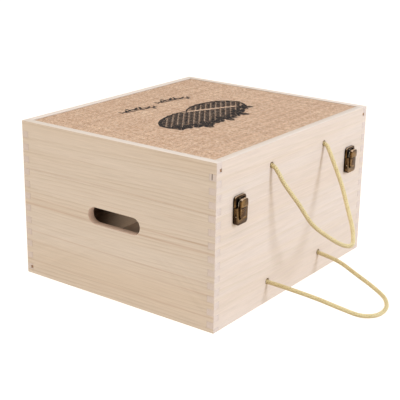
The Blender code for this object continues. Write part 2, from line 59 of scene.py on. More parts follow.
# Ropes: the routes are the model's own, from the left hole to the right one
ROPE = 0.0055
UPPER_ROUTE = [
    (-0.0620, -0.1397, 0.1762), (-0.0620, -0.1525, 0.1760), (-0.0612, -0.1598, 0.1680),
    (-0.0587, -0.1668, 0.1558), (-0.0512, -0.1836, 0.1316), (-0.0424, -0.1986, 0.1070),
    (-0.0272, -0.2156, 0.0890), (-0.0138, -0.2262, 0.0789), (0.0000, -0.2297, 0.0754),
    (0.0131, -0.2250, 0.0785), (0.0272, -0.2152, 0.0884), (0.0413, -0.1994, 0.1080),
    (0.0515, -0.1840, 0.1317), (0.0578, -0.1674, 0.1568), (0.0604, -0.1598, 0.1680),
    (0.0620, -0.1525, 0.1760), (0.0620, -0.1397, 0.1762)]
LOWER_ROUTE = [
    (-0.0620, -0.1397, 0.0272), (-0.0620, -0.1525, 0.0272), (-0.0600, -0.1841, 0.0250),
    (-0.0524, -0.2155, 0.0190), (-0.0442, -0.2424, 0.0115), (-0.0350, -0.2640, 0.0050),
    (-0.0222, -0.2768, 0.0033), (-0.0085, -0.2805, 0.0031), (0.0060, -0.2788, 0.0031),
    (0.0190, -0.2733, 0.0035), (0.0322, -0.2625, 0.0050), (0.0430, -0.2416, 0.0092),
    (0.0512, -0.2146, 0.0156), (0.0589, -0.1838, 0.0234), (0.0620, -0.1525, 0.0272),
    (0.0620, -0.1397, 0.0272)]
ROPE_STEP = 0.0009
STRANDS = 7                 # turning each way
STRAND_PITCH = 0.040
STRAND_HALF_WIDTH = 0.00064
STRAND_HALF_THICKNESS = 0.00044
STRAND_WEAVE = 0.00014
STRAND_SIDES = 6
CORE_SIDES = 10
CURVE_STEPS = 60            # between two points of a route
KNOT_ROPE = 0.0046
KNOT_REACH = 0.00158
KNOT_DEPTH = 0.0033
KNOT_STEPS = 130


# -------- camera, floor and light
ROOM_LIGHT = 0.54
FLOOR_HALF = 6.0
FLOOR_DROP = 0.0002
FLOOR_GREY = 0.16
FLOOR_GLOW = 1.03

# Softboxes: name, direction from the crate, distance, side, watts, colour
SOFTBOXES = (
    ("key_softbox", (0.10, -0.67, 0.37), 2.2, 0.62, 27.0, (0.66, 0.78, 1.0)),
    ("top_softbox", (-0.2, 0.1, 1.0), 2.0, 1.2, 15.5, (1.0, 0.99, 0.98)),
    ("left_fill", (-1.0, 0.1, 0.25), 2.5, 1.5, 3.5, (1.0, 0.98, 0.95)))


def camera():
    """The crate is seen from its front left corner, from a little above."""
    azimuth, elevation, roll = radians(-53.993), radians(18.695), radians(0.909)
    distance, across, up_shift = 1.38303, 0.001973, 0.080526
    back = Vector((sin(azimuth) * cos(elevation),
                   -cos(azimuth) * cos(elevation), sin(elevation)))
    level = Vector((cos(azimuth), sin(azimuth), 0))
    upright = back.cross(level)
    right = cos(roll) * level + sin(roll) * upright
    up = -sin(roll) * level + cos(roll) * upright
    data = bpy.data.cameras.new("camera")
    data.sensor_width = 36
    data.lens = 90.985
    obj = bpy.data.objects.new("camera", data)
    obj.matrix_world = Matrix((right, up, back)).transposed().to_4x4()
    obj.matrix_world.translation = back * distance + right * across + up * up_shift
    bpy.context.scene.collection.objects.link(obj)
    bpy.context.scene.camera = obj


def light(name, kind, place, aim, power, colour):
    """A light at one place that faces another."""
    data = bpy.data.lights.new(name, kind)
    data.energy = power
    data.color = colour
    obj = bpy.data.objects.new(name, data)
    obj.location = place
    obj.rotation_euler = (place - aim).to_track_quat("Z", "Y").to_euler()
    bpy.context.scene.collection.objects.link(obj)
    return obj


def studio():
    """Pale surroundings, a white floor, a key light in front of the latches and two soft fills."""
    scene = bpy.context.scene
    scene.view_settings.view_transform = "Standard"
    world = bpy.data.worlds.new("pale_room")
    world.use_nodes = True
    background = world.node_tree.nodes["Background"]
    background.inputs["Color"].default_value = rgb(1.0, 0.965, 0.86)
    background.inputs["Strength"].default_value = ROOM_LIGHT
    scene.world = world
    middle = (BOX_LOW + BOX_HIGH) / 2
    for name, towards, distance, size, power, colour in SOFTBOXES:
        place = middle + Vector(towards).normalized() * distance
        light(name, "AREA", place, middle, power, colour).data.size = size
    white_floor()


def white_floor():
    """A floor that glows faintly, so that it stays white right round the crate."""
    bm = bmesh.new()
    bmesh.ops.create_grid(bm, x_segments=1, y_segments=1, size=FLOOR_HALF)
    floor = bpy.data.objects.new("floor", bmesh_to_mesh(bm, "floor"))
    floor.location.z = -FLOOR_DROP
    bpy.context.scene.collection.objects.link(floor)
    look = Look("white_floor")
    look.set("Base Color", rgb(FLOOR_GREY, FLOOR_GREY, FLOOR_GREY))
    look.set("Roughness", 0.9)
    look.set("Emission Color", rgb(1.0, 0.95, 0.89))
    look.set("Emission Strength", FLOOR_GLOW)
    floor.data.materials.append(look.material)


def far_hole_daylight():
    """A soft pool of daylight low on the back board's inside, from the hand hole on the far side."""
    pool = Vector((0.080, BOX_HIGH.y - BOARD, 0.012))
    obj = light("far_hole_daylight", "SPOT", Vector((0.05, -0.08, 0.12)), pool, 0.80, (1.0, 0.93, 0.84))
    obj.data.shadow_soft_size = 0.01
    obj.data.spot_size = radians(58)
    obj.data.spot_blend = 1.0
    obj.visible_camera = False


# -------- materials
class Look:
    """A node material on object coordinates, and short words for its nodes."""

    def __init__(self, name):
        self.material = bpy.data.materials.new(name)
        self.material.use_nodes = True
        self.tree = self.material.node_tree
        self.shader = self.tree.nodes["Principled BSDF"]
        coordinates = self.new("ShaderNodeTexCoord")
        self.place = coordinates.outputs["Object"]
        self.normal = coordinates.outputs["Normal"]

    def new(self, kind, **settings):
        node = self.tree.nodes.new(kind)
        for key, value in settings.items():
            setattr(node, key, value)
        return node

    def feed(self, socket, value):
        """Link a socket to another, or give it a plain value."""
        if isinstance(value, bpy.types.NodeSocket):
            self.tree.links.new(value, socket)
        else:
            socket.default_value = value

    def set(self, name, value):
        self.feed(self.shader.inputs[name], value)

    def math(self, operation, *values):
        node = self.new("ShaderNodeMath", operation=operation)
        for socket, value in zip(node.inputs, values):
            self.feed(socket, value)
        return node.outputs[0]

    def times(self, first, second):
        return self.math("MULTIPLY", first, second)

    def split(self, vector):
        node = self.new("ShaderNodeSeparateXYZ")
        self.feed(node.inputs[0], vector)
        return node.outputs[0], node.outputs[1], node.outputs[2]

    def join(self, x, y, z):
        node = self.new("ShaderNodeCombineXYZ")
        for socket, value in zip(node.inputs, (x, y, z)):
            self.feed(socket, value)
        return node.outputs[0]

    def scaled(self, vector, scale, shift=(0.0, 0.0, 0.0)):
        node = self.new("ShaderNodeMapping")
        self.feed(node.inputs["Vector"], vector)
        self.feed(node.inputs["Scale"], scale)
        self.feed(node.inputs["Location"], shift)
        return node.outputs[0]

    def noise(self, vector, detail=2.0, roughness=0.5):
        node = self.new("ShaderNodeTexNoise")
        self.feed(node.inputs["Vector"], vector)
        self.feed(node.inputs["Scale"], 1.0)
        self.feed(node.inputs["Detail"], detail)
        self.feed(node.inputs["Roughness"], roughness)
        return node.outputs[0]

    def grit(self, scale, detail=2.0, roughness=0.5):
        """Noise of the same scale every way: cells per metre."""
        return self.noise(self.scaled(self.place, (scale, scale, scale)), detail, roughness)

    def random(self, value):
        """A different value from 0 to 1 for each whole number."""
        node = self.new("ShaderNodeTexWhiteNoise", noise_dimensions="1D")
        self.feed(node.inputs["W"], self.math("FLOOR", value))
        return node.outputs["Value"]

    def ramp(self, factor, stops):
        """Grey levels at places from 0 to 1."""
        node = self.new("ShaderNodeValToRGB")
        self.feed(node.inputs[0], factor)
        elements = node.color_ramp.elements
        while len(elements) < len(stops):
            elements.new(0.5)
        for element, (place, level) in zip(elements, stops):
            element.position = place
            element.color = (level, level, level, 1.0)
        return node.outputs[0]

    def rise(self, factor, low, high, top=1.0):
        """0 up to a low value, then rising to the top at a high one."""
        return self.ramp(factor, [(low, 0.0), (high, top)])

    def mix(self, factor, first, second, blend="MIX"):
        node = self.new("ShaderNodeMix", data_type="RGBA", blend_type=blend)
        self.feed(node.inputs[0], factor)
        self.feed(node.inputs[6], first)
        self.feed(node.inputs[7], second)
        return node.outputs[2]

    def bump(self, height, distance):
        node = self.new("ShaderNodeBump")
        self.feed(node.inputs["Height"], height)
        self.feed(node.inputs["Distance"], distance)
        self.feed(node.inputs["Strength"], 1.0)
        self.set("Normal", node.outputs[0])


def rgb(red, green, blue):
    return (red, green, blue, 1.0)


# Wood noise: cells per metre along the grain, into the board and up
SWAY = (2.4, 9.0, 11.0)
RIPPLE = (11.0, 60.0, 70.0)
LINE_FADE = (3.1, 14.0, 60.0)
FIGURE = (1.7, 16.0, 26.0)
FIBRES = (26.0, 900.0, 900.0)
HAIRS = (9.0, 420.0, 420.0)
STREAK_PATCHES = (7.0, 8.0, 160.0)
PORES = (700.0, 1500.0, 1500.0)

STREAK = rgb(0.44, 0.245, 0.145)
# Painted light: on upward faces, and on the hand hole's walls over their paler cut wood
TOP_LIGHT_WOOD = rgb(0.83, 0.73, 0.66)
CUT_WOOD_AND_LIGHT = rgb(0.85, 0.63, 0.50)
# A crack's darkness, painted as shade
SPLIT_SHADE = rgb(0.05, 0.025, 0.015)
INSIDE_SHADE = rgb(0.72, 0.68, 0.64)
SPLIT_HALF_WIDTH = 0.0005
SPLIT_DEPTH = 0.002
WOOD_RELIEF = 0.00012


class Grain:
    """Places in a board: along its grain, into it and up. Each seed shifts every pattern."""

    def __init__(self, look, along, seed):
        x, y, self.z = look.split(look.place)
        self.look = look
        self.length, self.depth = (x, y) if along == "X" else (y, x)
        self.place = look.join(self.length, self.depth, self.z)
        self.shift = (seed * 3.7, seed * 1.3, seed * 7.1)

    def noise(self, scale, detail=2.0, roughness=0.5):
        return self.look.noise(self.look.scaled(self.place, scale, self.shift), detail, roughness)


def within(look, value, middle, half):
    """1 where a value is less than half from the middle, and 0 elsewhere."""
    return look.math("LESS_THAN", look.math("ABSOLUTE", look.math("SUBTRACT", value, middle)), half)


def growth_lines(grain, spacing):
    """The sway that bends the growth lines, and how dark they are."""
    look = grain.look
    sway = grain.noise(SWAY, 1.0)
    height = grain.z
    for value, share in ((sway, 0.022), (grain.noise(RIPPLE, 1.0), 0.0020), (grain.depth, 0.45),
                         (grain.length, 0.020)):
        height = look.math("MULTIPLY_ADD", value, share, height)
    ring = look.math("FRACT", look.math("DIVIDE", height, spacing))
    late = look.ramp(ring, [(0.0, 0.0), (0.45, 0.10), (0.78, 0.55), (0.90, 1.0), (1.0, 0.0)])
    fade = look.ramp(grain.noise(LINE_FADE), [(0.34, 0.05), (0.66, 1.0)])
    return sway, look.times(late, fade)


def streak_mask(look, height, streaks):
    """Soft lines at chosen heights, each (height, half width, strength)."""
    low, high = -0.01, BOX_HIGH.z + 0.01
    level = look.math("DIVIDE", look.math("SUBTRACT", height, low), high - low)
    stops = [(0.0, 0.0)]
    for z, half, strength in sorted(streaks):
        for at, value in ((z - half, 0.0), (z, strength), (z + half, 0.0)):
            stops.append(((at - low) / (high - low), value))
    return look.ramp(level, stops)


def with_streaks(grain, colour, sway, streaks):
    """Red streaks, patchy and stronger towards the front."""
    look = grain.look
    level = look.math("MULTIPLY_ADD", sway, 0.006, look.math("SUBTRACT", grain.z, 0.003))
    patchy = look.ramp(grain.noise(STREAK_PATCHES), [(0.32, 0.30), (0.62, 1.0)])
    strength = look.times(streak_mask(look, level, streaks), patchy)
    near = look.math("MULTIPLY_ADD", grain.length, -1.3, 0.86)
    return look.mix(look.times(strength, near), colour, STREAK)


def with_cut_faces(grain, colour, cream, along):
    """End grain, painted light from above on every upward face, and the cut walls of the hand hole painted
    paler with painted light.
    """
    look = grain.look
    nx, ny, nz = look.split(look.normal)
    facing = look.math("ABSOLUTE", nx if along == "X" else ny)
    end_dark, end_light = (rgb(cream[0] * k, cream[1] * k * 0.985, cream[2] * k * 1.03)
                           for k in (0.88, 0.99))
    ends = look.mix(grain.noise(PORES), end_dark, end_light)
    colour = look.mix(look.rise(facing, 0.55, 0.85, 0.9), colour, ends)
    # Every upward face is painted paler: painted light from above.
    colour = look.mix(look.rise(nz, 0.55, 0.85, 0.7), colour, TOP_LIGHT_WOOD)
    if along == "X":
        return colour
    # The hand hole's walls: paler cut wood, and painted light where they lie in shade.
    margin = 0.001
    hole = look.times(within(look, grain.length, 0.0, HAND_HOLE_LENGTH / 2 + margin),
                     within(look, grain.z, HAND_HOLE_Z, HAND_HOLE_HEIGHT / 2 + margin))
    wall = look.ramp(look.math("ABSOLUTE", nx), [(0.45, 0.9), (0.90, 0.0)])
    return look.mix(look.times(hole, wall), colour, CUT_WOOD_AND_LIGHT)


def with_inside_shade(grain, colour, along):
    """The inner faces of the box are painted a little darker: painted shade inside the closed box."""
    look = grain.look
    outer = BOX_HIGH.y if along == "X" else BOX_HIGH.x
    inside = within(look, grain.depth, 0.0, outer - BOARD + 0.0002)
    inside = look.times(inside, look.math("LESS_THAN", grain.z, UNDER_LID_PANEL))
    return look.mix(inside, colour, look.mix(1.0, colour, INSIDE_SHADE, "MULTIPLY"))


def with_split(grain, colour, split):
    """A short crack in one end of a board, painted dark as the shade inside it: split is (end, depth, low,
    high).
    """
    look = grain.look
    end, place, low, high = split
    across = within(look, grain.depth, place, SPLIT_HALF_WIDTH)
    up = within(look, grain.z, (low + high) / 2, (high - low) / 2)
    near = within(look, grain.length, end, SPLIT_DEPTH)
    return look.mix(look.times(look.times(across, up), near), colour, SPLIT_SHADE)


def wood(name, along, seed, cream, line, spacing, contrast=0.8, hair=0.2, streaks=(), split=None):
    """Pale sawn wood with its grain along X or Y: growth lines, fibres, red streaks and end grain."""
    look = Look(name)
    grain = Grain(look, along, seed)
    sway, late = growth_lines(grain, spacing)
    fibres = grain.noise(FIBRES, 3.0, 0.6)
    hairs = look.rise(grain.noise(HAIRS), 0.60, 0.72)

    warm = rgb(cream[0] * 0.965, cream[1] * 0.925, cream[2] * 0.87)
    reddish = rgb(line[0] * 0.86, line[1] * 0.74, line[2] * 0.66)
    colour = look.mix(look.rise(grain.noise(FIGURE), 0.32, 0.70), cream, warm)
    colour = look.mix(look.times(late, contrast), colour, line)
    colour = look.mix(look.times(hairs, hair), colour, reddish)
    if streaks:
        colour = with_streaks(grain, colour, sway, streaks)
    colour = with_cut_faces(grain, colour, cream, along)
    colour = with_inside_shade(grain, colour, along)
    if split:
        colour = with_split(grain, colour, split)
    shade = look.ramp(fibres, [(0.25, 0.92), (0.75, 1.06)])
    look.set("Base Color", look.mix(1.0, colour, shade, "MULTIPLY"))

    look.set("Roughness", look.math("MULTIPLY_ADD", fibres, 0.12, 0.56))
    look.set("Specular IOR Level", 0.28)
    relief = look.math("ADD", look.times(fibres, 0.6), look.times(late, -0.9))
    look.bump(relief, WOOD_RELIEF)
    return look.material


WEAVE_PITCH = 0.00140
WANDER = 60.0               # cells per metre of the threads' sideways wander
WANDER_REACH = 0.0012
SLUBS = 70.0                # thick and thin places per metre of a thread


def either(look, choice, first, second):
    """The first value where choice is 1, and the second where it is 0."""
    return look.math("ADD", look.times(first, choice),
                     look.times(second, look.math("SUBTRACT", 1.0, choice)))


def thread_tone(look, own, slub):
    return look.math("ADD", look.times(own, 0.45), look.times(slub, 0.55))


def weave(look):
    """Over-and-under threads: returns their height, and a tone that differs from thread to thread."""
    x, y = look.split(look.place)[:2]
    wander_x = look.noise(look.scaled(look.place, (WANDER, WANDER, 0.0)), 2.0)
    wander_y = look.noise(look.scaled(look.place, (WANDER, WANDER, 0.0), (7.3, 2.1, 0.0)), 2.0)
    u = look.math("DIVIDE", look.math("MULTIPLY_ADD", wander_x, WANDER_REACH, x), WEAVE_PITCH)
    v = look.math("DIVIDE", look.math("MULTIPLY_ADD", wander_y, WANDER_REACH, y), WEAVE_PITCH)
    wave_u = look.math("SINE", look.times(u, pi))
    wave_v = look.math("SINE", look.times(v, pi))
    is_over = look.math("GREATER_THAN", look.times(wave_u, wave_v), 0.0)
    height = either(look, is_over, look.math("ABSOLUTE", wave_u), look.math("ABSOLUTE", wave_v))
    slub_u = look.noise(look.join(look.math("FLOOR", u), look.times(y, SLUBS), 0.0))
    slub_v = look.noise(look.join(look.times(x, SLUBS), look.math("FLOOR", v), 9.0))
    tone_u = thread_tone(look, look.random(u), slub_u)
    tone_v = thread_tone(look, look.random(look.math("ADD", v, 517.0)), slub_v)
    return height, either(look, is_over, tone_u, tone_v)


def burlap_material():
    """Reddish jute threads with dark and pale flecks along them."""
    look = Look("burlap_weave")
    height, tone = weave(look)
    colour = look.mix(look.rise(tone, 0.25, 0.75), rgb(0.53, 0.288, 0.165),
                      rgb(0.99, 0.68, 0.45))
    for turn, scale in ((0.0, (210.0, 760.0, 1.0)), (5.0, (760.0, 210.0, 1.0))):
        flecks = look.noise(look.scaled(look.place, scale, (turn, turn, 0.0)), 2.0)
        colour = look.mix(look.rise(flecks, 0.55, 0.66, 0.60), colour, rgb(0.40, 0.20, 0.115))
        colour = look.mix(look.ramp(flecks, [(0.34, 0.60), (0.45, 0.0)]), colour, rgb(1.0, 0.80, 0.62))
    mottle = look.grit(34.0, 3.0)
    colour = look.mix(look.rise(mottle, 0.35, 0.68, 0.22), colour, rgb(0.66, 0.38, 0.23))
    # Darker where the threads dip into the weave: painted shade in its hollows.
    depth = look.ramp(height, [(0.05, 0.60), (0.55, 1.0)])
    look.set("Base Color", look.mix(1.0, colour, depth, "MULTIPLY"))
    look.set("Roughness", 0.92)
    look.set("Sheen Weight", 0.15)
    look.set("Sheen Roughness", 0.5)
    look.set("Specular IOR Level", 0.12)
    look.bump(height, 0.00035)
    return look.material


def ink_material():
    """Black-brown ink that covers the raised threads and misses some of the hollows."""
    look = Look("printed_ink")
    height, tone = weave(look)
    worn = look.grit(260.0, 3.0)
    missed = look.times(look.ramp(height, [(0.16, 1.0), (0.40, 0.0)]),
                       look.rise(worn, 0.48, 0.60))
    dark = look.mix(tone, rgb(0.014, 0.013, 0.014), rgb(0.046, 0.040, 0.040))
    look.set("Base Color", look.mix(missed, dark, rgb(0.34, 0.22, 0.15)))
    look.set("Roughness", 0.88)
    look.set("Specular IOR Level", 0.12)
    look.bump(height, 0.0003)
    return look.material


def rope_material(name, shade_under, dark, light):
    """Satin thread, brighter on the side that faces up and darker underneath: painted shade."""
    look = Look(name)
    fibres = look.grit(1900.0)
    patches = look.grit(130.0)
    colour = look.mix(fibres, dark, light)
    colour = look.mix(look.rise(patches, 0.4, 0.7, 0.35), colour, dark)
    # Painted shade on the underside, chosen by the way the surface faces.
    upward = look.split(look.normal)[2]
    painted_under_shade = look.ramp(look.math("MULTIPLY_ADD", upward, 0.5, 0.5), [(0.26, 0.85), (0.66, 0.0)])
    look.set("Base Color", look.mix(painted_under_shade, colour, shade_under))
    look.set("Roughness", 0.36)
    look.set("Sheen Weight", 0.10)
    look.set("Sheen Roughness", 0.4)
    look.set("Specular IOR Level", 0.45)
    look.bump(fibres, 0.00006)
    return look.material


PAINTED_SHADE_SHARE = 0.35         # how light the painted shade in hollows is beside the dark metal


def with_top_highlight(look, colour, up, top_highlight):
    """A painted highlight on the upper faces near the latch's top: a colour and the lowest z it reaches.
    """
    bright, low = top_highlight
    above = look.math("GREATER_THAN", look.split(look.place)[2], low)
    share = look.times(above, look.rise(up, 0.45, 0.85, 0.85))
    return look.mix(share, colour, bright)


def with_recess_shade(look, colour, shade_colour, recess):
    """Recesses darkened, painted shade with the patina that gathers there: recess is (deep y, shallow y),
    dark from the first and clear from the second.
    """
    deep, shallow = recess
    past = look.math("SUBTRACT", look.split(look.place)[1], shallow)
    share = look.math("DIVIDE", past, deep - shallow)
    return look.mix(look.rise(share, 0.0, 1.0, 0.9), colour, shade_colour)


def with_shadow_line(look, colour, shade_colour, out, step):
    """A painted shadow line across the front, under the thumb piece: step is (low z, high z)."""
    low, high = step
    line = within(look, look.split(look.place)[2], (low + high) / 2, (high - low) / 2)
    return look.mix(look.times(line, look.math("LESS_THAN", out, -0.5)), colour, shade_colour)


def old_metal(name, dark, warm, worn, roughness, shaded_flank=None, top_highlight=None, recess=None, step=None):
    """Patinated metal: warm on its front, dark on its flanks as painted shade, and rubbed bright along the
    edges.

    The flank colour is the painted shade on its sides, if that isn't dark.
    """
    look = Look(name)
    blotch = look.grit(760.0, 3.0, 0.6)
    speckle = look.grit(2600.0)
    edge = look.new("ShaderNodeNewGeometry").outputs["Pointiness"]
    rubbed = look.times(look.rise(edge, 0.54, 0.64), look.ramp(blotch, [(0.35, 0.35), (0.6, 1.0)]))
    colour = look.mix(look.rise(blotch, 0.35, 0.68), dark, warm)
    colour = look.mix(look.times(speckle, 0.35), colour, dark)
    out, up = look.split(look.normal)[1:]
    # Faces turned from the front and the top are darkened: painted shade.
    facing = look.math("MAXIMUM", look.math("ABSOLUTE", out), up)
    colour = look.mix(look.ramp(facing, [(0.30, 0.85), (0.85, 0.0)]), colour, shaded_flank or dark)
    colour = look.mix(rubbed, colour, worn)
    shade_colour = rgb(*(level * PAINTED_SHADE_SHARE for level in dark[:3]))
    if top_highlight:
        colour = with_top_highlight(look, colour, up, top_highlight)
    if recess:
        colour = with_recess_shade(look, colour, shade_colour, recess)
    if step:
        colour = with_shadow_line(look, colour, shade_colour, out, step)
    look.set("Base Color", colour)
    look.set("Metallic", 1.0)
    look.set("Roughness", look.math("MULTIPLY_ADD", speckle, 0.22, roughness))
    look.bump(speckle, 0.00003)
    return look.material


# Red streaks on the left board: (height, half width, strength)
LEFT_STREAKS = ((0.0195, 0.0012, 0.40), (0.0460, 0.0013, 0.48), (0.0600, 0.0012, 0.50),
                (0.0975, 0.0016, 0.72), (0.1055, 0.0013, 0.62), (0.1442, 0.0011, 0.46))

FRONT_WOOD = wood("front_board_wood", "X", 1.0, rgb(0.712, 0.592, 0.502), rgb(0.655, 0.535, 0.395),
                  0.0092, 0.65, 0.10,
                  split=(BOX_LOW.x, BOX_LOW.y + 0.0060, BOX_HIGH.z - 0.0205, BOX_HIGH.z - 0.0130))
BACK_WOOD = wood("back_board_wood", "X", 5.0, rgb(0.70, 0.580, 0.485), rgb(0.61, 0.49, 0.365), 0.0066, 0.6)
LEFT_WOOD = wood("left_board_wood", "Y", 2.0, rgb(0.705, 0.585, 0.482), rgb(0.565, 0.430, 0.310),
                 0.0047, 0.8, streaks=LEFT_STREAKS)
RIGHT_WOOD = wood("right_board_wood", "Y", 8.0, rgb(0.705, 0.585, 0.485), rgb(0.59, 0.46, 0.335),
                  0.0056, 0.7)
PANEL_WOOD = wood("thin_panel_wood", "X", 11.0, rgb(0.60, 0.475, 0.345), rgb(0.50, 0.37, 0.25), 0.0090)
FILL_WOOD = wood("groove_fill_wood", "X", 13.0, rgb(0.36, 0.20, 0.11), rgb(0.25, 0.13, 0.07), 0.0010)
BURLAP = burlap_material()
INK = ink_material()
CORD = rope_material("gold_cord", rgb(0.33, 0.205, 0.07), rgb(0.58, 0.43, 0.17), rgb(1.0, 0.87, 0.53))
# The core's dark colour is painted shade in the gaps between the strands.
CORD_GAP_SHADE = rope_material("gold_cord_heart_shade", rgb(0.12, 0.08, 0.03), rgb(0.16, 0.11, 0.04),
                           rgb(0.30, 0.22, 0.10))
BRONZE_DARK, BRONZE_WARM = rgb(0.036, 0.021, 0.011), rgb(0.185, 0.104, 0.040)
BRONZE_WORN = rgb(0.325, 0.190, 0.072)
# Painted shade, with patina, in the latch plates' recesses: from a deep y to a shallow one.
LATCH_RECESS_SHADE = (BOX_LOW.y - 0.0013, BOX_LOW.y - 0.0024)
# Painted highlight on the latch's upper faces: its colour and lowest z.
TOP_HIGHLIGHT = (rgb(0.92, 0.74, 0.55), LEVER_TOP - 0.004)
# Painted shadow line under the lever's thumb piece: its low and high z.
HEAD_SHADOW_LINE = (LEVER_TOP - 0.0122, LEVER_TOP - 0.0108)
BRONZE = old_metal("antique_bronze_metal", BRONZE_DARK, BRONZE_WARM, BRONZE_WORN, 0.26)
PLATE_BRONZE = old_metal("latch_plate_metal", BRONZE_DARK, rgb(0.140, 0.068, 0.024), BRONZE_WORN, 0.28,
                         top_highlight=TOP_HIGHLIGHT, recess=LATCH_RECESS_SHADE)
# The lever's nearly black flank colour is painted shade.
LEVER_BRONZE = old_metal("latch_lever_metal", BRONZE_DARK, rgb(0.170, 0.090, 0.036), BRONZE_WORN, 0.26,
                         shaded_flank=rgb(0.014, 0.009, 0.006), top_highlight=TOP_HIGHLIGHT, step=HEAD_SHADOW_LINE)
RIB_BRONZE = old_metal("latch_rib_metal", rgb(0.075, 0.038, 0.020), rgb(0.200, 0.098, 0.044), BRONZE_WORN,
                       0.30)
BRASS = old_metal("aged_brass_metal", rgb(0.20, 0.13, 0.065), rgb(0.46, 0.32, 0.16),
                  rgb(0.95, 0.84, 0.64), 0.20)
BAIL_BRASS = old_metal("bright_wire_metal", rgb(0.52, 0.44, 0.32), rgb(0.92, 0.84, 0.70),
                       rgb(1.0, 0.97, 0.90), 0.16)


# -------- pieces
SHARP = radians(38)
EASED_FROM = radians(28)


def piece(name, bm, materials, body, nodes=(), smooth=True):
    """A finished piece in the scene: its looks, the body it rides on and the nodes it replaces."""
    mesh = bmesh_to_mesh(bm, name)
    obj = bpy.data.objects.new(name, mesh)
    bpy.context.scene.collection.objects.link(obj)
    for material in materials:
        mesh.materials.append(material)
    if smooth:
        mesh.shade_smooth()
        mesh.set_sharp_from_angle(angle=SHARP)
    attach(obj, body)
    if nodes:
        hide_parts(*nodes)
    return obj


def middle_of(node):
    low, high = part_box(node)
    return (low + high) / 2


def circle(count):
    """The cosine and sine of even turns round a circle."""
    turns = [2 * pi * i / count for i in range(count)]
    return [(cos(turn), sin(turn)) for turn in turns]


def add_box(bm, middle, size):
    bmesh.ops.create_cube(bm, size=1.0, matrix=Matrix.LocRotScale(Vector(middle), None, Vector(size)))


def bmesh_to_mesh(bm, name):
    mesh = bpy.data.meshes.new(name)
    bm.to_mesh(mesh)
    bm.free()
    return mesh


def node_copy(node):
    """A node's shape as a clean bmesh, its flat faces whole again."""
    bm = bmesh.new()
    bm.from_mesh(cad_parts[node].data)
    bmesh.ops.remove_doubles(bm, verts=bm.verts, dist=1e-6)
    bmesh.ops.dissolve_limit(bm, angle_limit=radians(1), verts=bm.verts, edges=bm.edges)
    return bm


def ease(bm, width, segments, chosen=None):
    """Round the sharp edges of a shape, or only those that chosen() picks."""
    edges = [e for e in bm.edges if e.is_manifold and e.calc_face_angle(0) > EASED_FROM
             and (chosen is None or chosen(e))]
    bmesh.ops.bevel(bm, geom=edges, offset=width, offset_type="OFFSET", segments=segments,
                    profile=0.5, affect="EDGES", clamp_overlap=True)


def eased(node, body, material, width, segments=2):
    bm = node_copy(node)
    ease(bm, width, segments)
    piece(f"finished_{node}", bm, [material], body, [node])


# -------- boards
PANEL_EASE = 0.0004
ARRIS_EASE = 0.0005         # along the box's own edges
JOINT_EASE = 0.00007        # along the finger joints and the seam
HAND_EASE = 0.0008
ROPE_HOLE_EASE = 0.0005
FINGER_CLOSE = 0.00012      # how far each face of a joint swells into its clearance
NOTCH_CLOSE = 0.00025
FILL_SIZE = 0.0037
FILL_SUNK = 0.0005          # how deep the fill of a groove's end lies
GROOVE_MIDDLE = 0.0080      # of a panel's groove, from the outer face of its board
SEAM_CLOSE = 0.00011
NEAR = 0.001                # how near to a joint a face of it lies
OPENING_MARGIN = 0.014      # no hole comes nearer to a board's outline


def on_opening(edge, node):
    """Whether an edge is on the rim of a hole, well inside the board's outline."""
    low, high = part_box(node)
    thin = min(range(3), key=lambda i: high[i] - low[i])
    others = [i for i in range(3) if i != thin]
    for vert in edge.verts:
        if min(abs(vert.co[thin] - low[thin]), abs(vert.co[thin] - high[thin])) > 1e-5:
            return False
        for i in others:
            if min(vert.co[i] - low[i], high[i] - vert.co[i]) < OPENING_MARGIN:
                return False
    return True


def close_joints(bm, along):
    """Swell a board's fingers, notches and seam edge into their clearance, so that the joints close."""
    half = BOX_HIGH[along]
    moves = {}
    for face in bm.faces:
        places = [abs(vert.co[along]) for vert in face.verts]
        if abs(face.normal.z) > 0.99:
            level = face.verts[0].co.z
            if abs(level - SEAM_Z) < NEAR:
                grow = SEAM_CLOSE
            elif min(places) > half - BOARD - NEAR and NEAR < level < BOX_HIGH.z - NEAR:
                grow = FINGER_CLOSE * (0.8 + 0.6 * noise.noise(Vector((level * 400, along, half * 90))))
            else:
                continue
            axis, step = 2, grow * face.normal.z
        elif abs(face.normal[along]) > 0.99 and abs(places[0] - half + BOARD) < NEAR:
            axis, step = along, NOTCH_CLOSE * face.normal[along]
        else:
            continue
        for vert in face.verts:
            moves.setdefault(vert, Vector((0, 0, 0)))[axis] = step
    for vert, move in moves.items():
        vert.co += move


def on_arris(edge):
    """Whether an edge is one of the whole box's own edges."""
    for face in edge.link_faces:
        axis = max(range(3), key=lambda i: abs(face.normal[i]))
        outer = BOX_HIGH[axis] if face.normal[axis] > 0 else BOX_LOW[axis]
        if abs(face.verts[0].co[axis] - outer) > 0.00002:
            return False
    return True


def boards():
    """The eight boards, with the hand holes and rope holes rounded over."""
    for part, body in (("body", "crate_body"), ("lid", "lid")):
        for side, material, along in (("front", FRONT_WOOD, 0), ("back", BACK_WOOD, 0),
                                      ("left", LEFT_WOOD, 1), ("right", RIGHT_WOOD, 1)):
            node = f"{part}_{side}_board"
            bm = node_copy(node)
            close_joints(bm, along)
            rim = HAND_EASE if along else ROPE_HOLE_EASE
            ease(bm, rim, 4, lambda e: on_opening(e, node))
            ease(bm, ARRIS_EASE, 4, on_arris)
            ease(bm, JOINT_EASE, 1, lambda e: not on_opening(e, node))
            piece(f"finished_{node}", bm, [material], body, [node])


def groove_fill(name, body, ends):
    """Stained glue and dust that fill the open ends of a panel's grooves, just under the surface."""
    bm = bmesh.new()
    for end in ends:
        add_box(bm, end, [FILL_SIZE] * 3)
    ease(bm, PANEL_EASE, 3)
    piece(name, bm, [FILL_WOOD], body)


